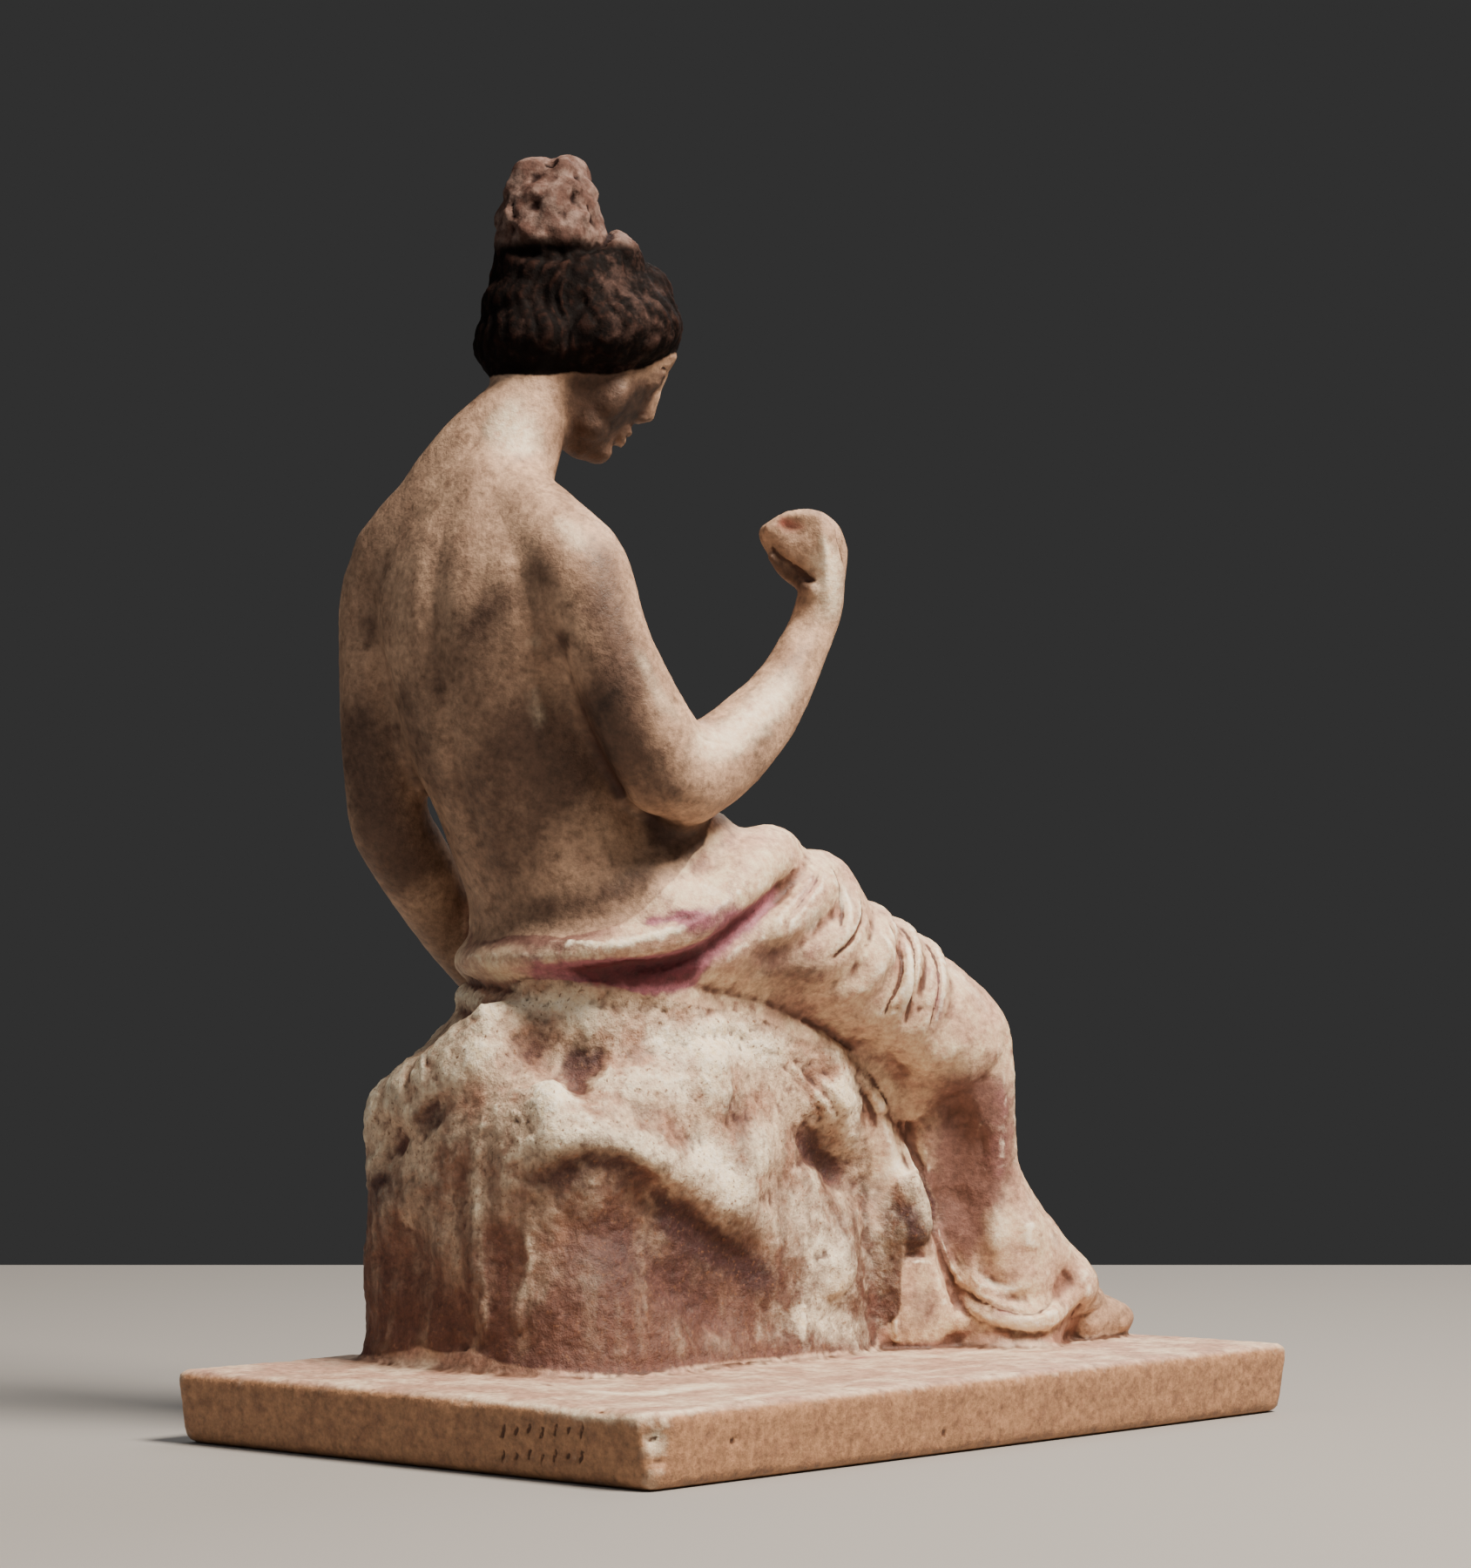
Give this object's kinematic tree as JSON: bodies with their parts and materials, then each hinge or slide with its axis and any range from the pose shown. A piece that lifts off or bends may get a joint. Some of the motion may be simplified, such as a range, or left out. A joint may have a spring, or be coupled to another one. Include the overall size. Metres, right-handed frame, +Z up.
{
  "type": "tanagra figurine",
  "caption": "Painted terracotta figurine of a seated woman with a bare back, draped legs and a raised hand, on a lumpy rock over a slab plinth.",
  "frame": {"origin": "middle of the plinth's underside", "axes": "+Z up, the figure faces -Y, its right side is -X"},
  "size_m": [0.1096, 0.1676, 0.2202],
  "materials": {
    "painted_clay": "painted and waxed fired clay: tan skin, cream and wine cloth, near-black hair, worn edges"
  },
  "bodies": {
    "root": {"figurine": "painted_clay"}
  },
  "joints": []
}
